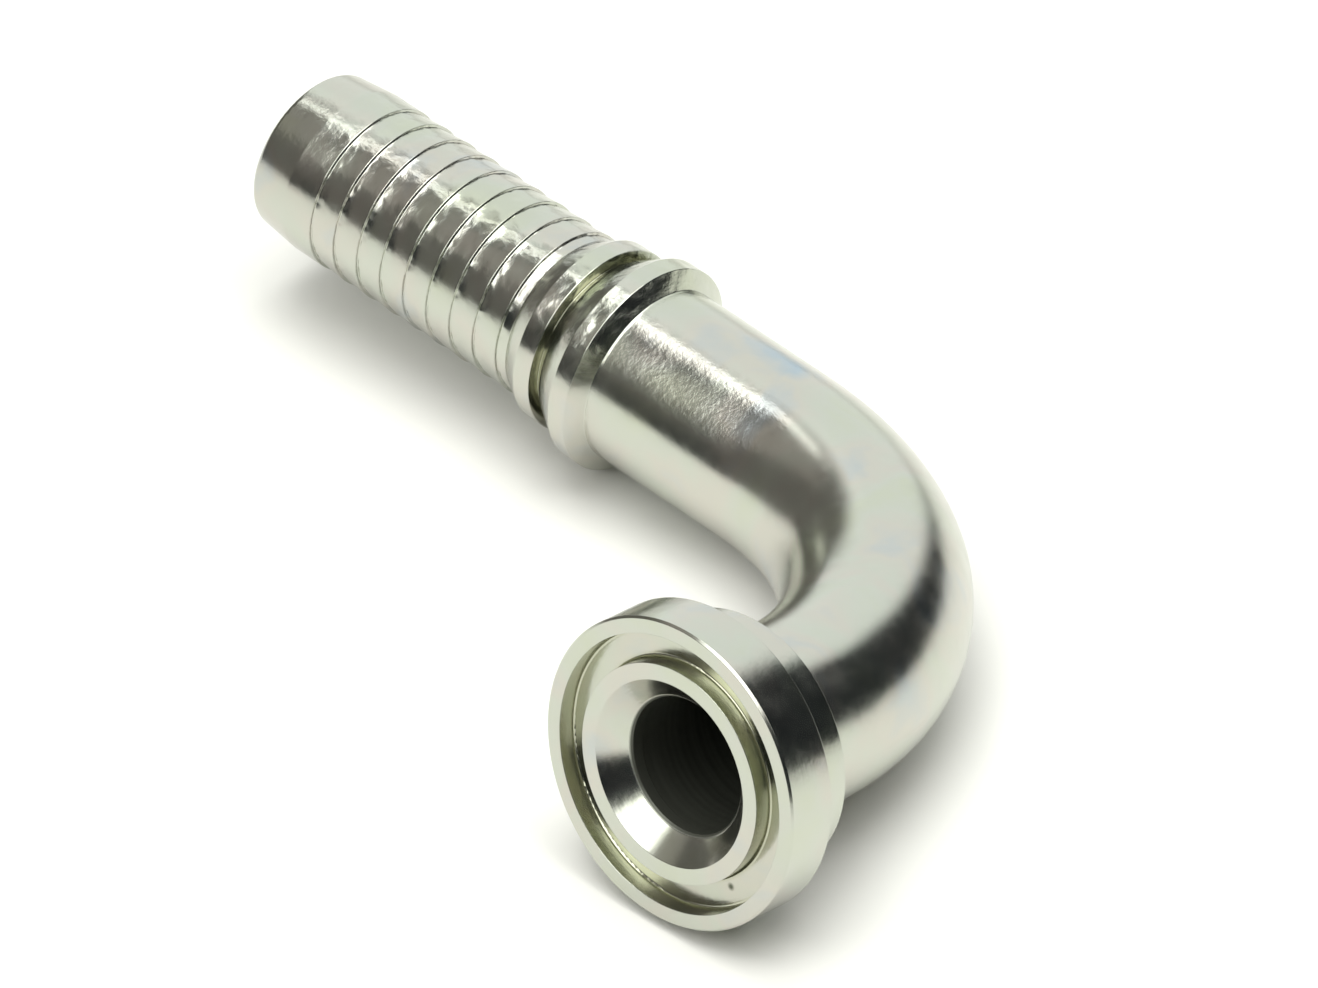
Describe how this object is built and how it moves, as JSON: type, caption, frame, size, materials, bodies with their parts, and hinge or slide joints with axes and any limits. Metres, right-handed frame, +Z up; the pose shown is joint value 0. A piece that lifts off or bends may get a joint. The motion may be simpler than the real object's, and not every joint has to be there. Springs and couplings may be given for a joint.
{
  "type": "crimp hose fitting",
  "caption": "Steel crimp hose fitting: a barbed hose tail with ring and collar, a tube bent through a right angle and a round flange head with a seal groove.",
  "frame": {"origin": "centre of the flange head's sealing face", "axes": "+Z up from the floor that the part lies on; the hose tail points along +X and rises slightly; the sealing face looks along +Y and slightly up"},
  "size_m": [0.1562, 0.0861, 0.0451],
  "materials": {
    "stem_steel": "bright clear zinc plate on turned and bent steel",
    "head_steel": "bright clear zinc plate on turned steel, fine turning rings on the sealing face"
  },
  "bodies": {
    "root": {"hose_stem": "stem_steel", "flange_head": "head_steel"}
  },
  "joints": []
}
